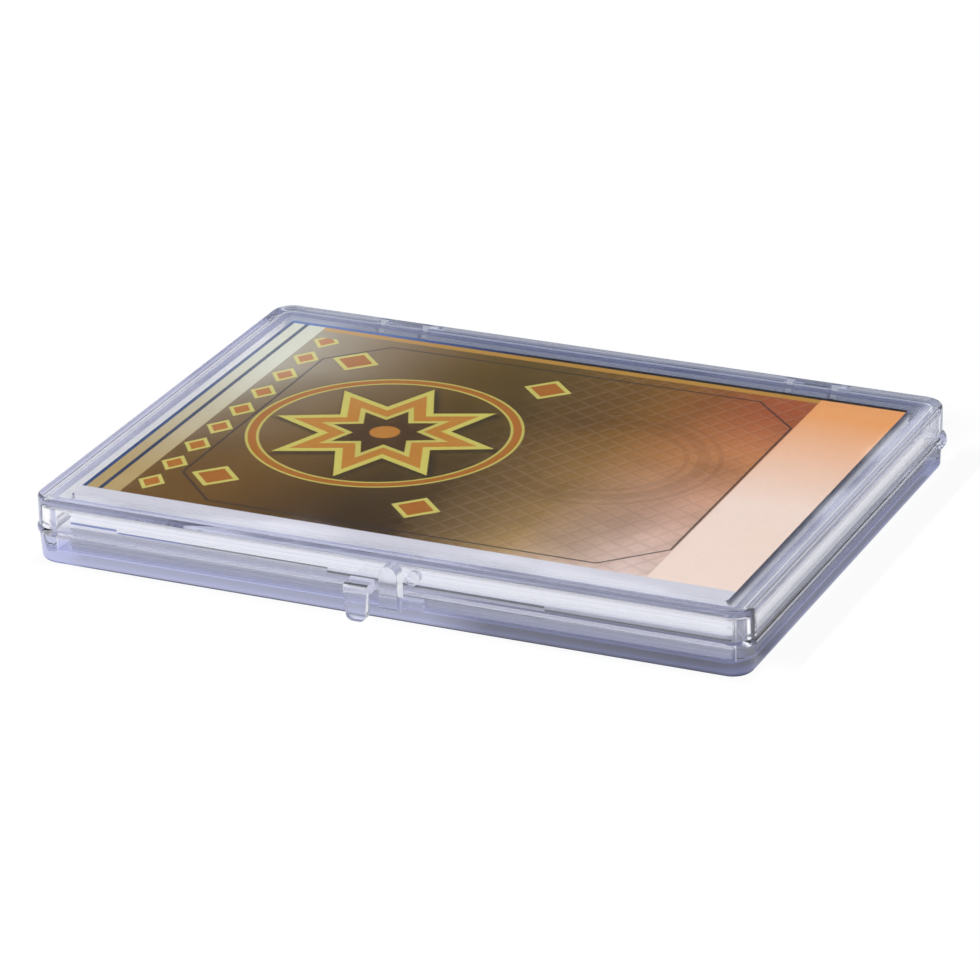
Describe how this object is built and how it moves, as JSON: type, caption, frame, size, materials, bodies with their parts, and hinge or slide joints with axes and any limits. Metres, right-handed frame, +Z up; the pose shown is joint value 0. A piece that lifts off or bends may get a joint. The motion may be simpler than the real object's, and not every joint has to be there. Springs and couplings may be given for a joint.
{
  "type": "trading card display case",
  "caption": "Low clear hinged box that holds and shows a stack of trading cards, with a snap latch of two finger tabs at the front.",
  "frame": {"origin": "centre of the flat underside", "axes": "+X along the long side, +Y towards the hinge, +Z up through the lid; the latch is at -Y"},
  "size_m": [0.098, 0.0761, 0.009],
  "materials": {
    "clear_shell": "polished, water-clear with a faint violet tint",
    "card_stock": "coated white board with cut edges",
    "printed_card": "glossy print in gold, brown and orange"
  },
  "bodies": {
    "base": {"base_tray": "clear_shell", "card_01": "card_stock", "card_02": "card_stock", "card_03": "card_stock", "card_04": "card_stock", "card_05": "card_stock", "card_06": "card_stock", "card_07": "card_stock", "card_08": "card_stock", "card_09": "card_stock", "card_10": "card_stock", "card_11": "card_stock", "card_12": "card_stock", "card_13": "card_stock", "card_14": "card_stock", "card_15": "printed_card"},
    "lid": {"hinged_lid": "clear_shell"}
  },
  "joints": [
    {"name": "lid_hinge", "type": "hinge", "parent": "base", "child": "lid", "pos_m": [0, 0.03645, 0.0045], "axis": [-1, 0, 0], "range_deg": [0, 180]}
  ]
}
